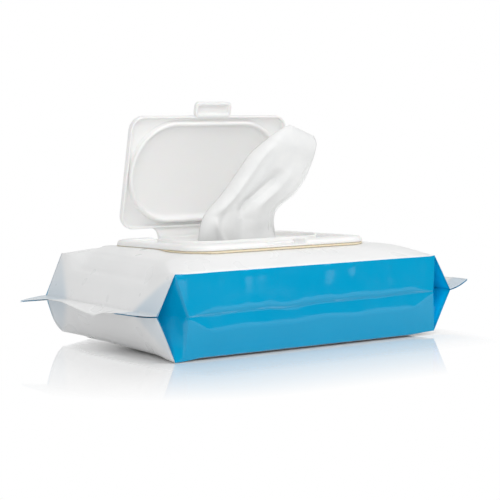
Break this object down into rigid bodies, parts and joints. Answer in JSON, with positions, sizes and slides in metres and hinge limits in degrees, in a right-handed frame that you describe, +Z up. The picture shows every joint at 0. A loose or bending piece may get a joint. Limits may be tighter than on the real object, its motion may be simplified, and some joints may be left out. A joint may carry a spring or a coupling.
{
  "type": "wet wipes pack",
  "caption": "Gusseted film pouch of wet wipes with a glued-on flip-top dispenser, its lid standing open and one wipe pulled up through the mouth.",
  "frame": {"origin": "on the floor under the middle of the pouch", "axes": "+X along the pack to its right end seal, +Y towards the lid's hinge, +Z up"},
  "size_m": [0.2138, 0.106, 0.1253],
  "materials": {
    "film": "satin laminated film, pale grey with blue side panels",
    "wipes": "moist white nonwoven",
    "adhesive": "tan hot-melt",
    "moulding": "white polypropylene, fine satin"
  },
  "bodies": {
    "pack": {"film_pouch": "film", "wipe_stack": "wipes", "leading_wipe": "wipes", "adhesive_ring": "adhesive", "dispenser_frame": "moulding"},
    "flip_lid": {"lid": "moulding"}
  },
  "joints": [
    {"name": "lid_hinge", "type": "hinge", "parent": "pack", "child": "flip_lid", "pos_m": [-0.00371, 0.04283, 0.05163], "axis": [1, 0, 0], "range_deg": [-18, 77.2], "deforming": ["leading_wipe"]}
  ]
}
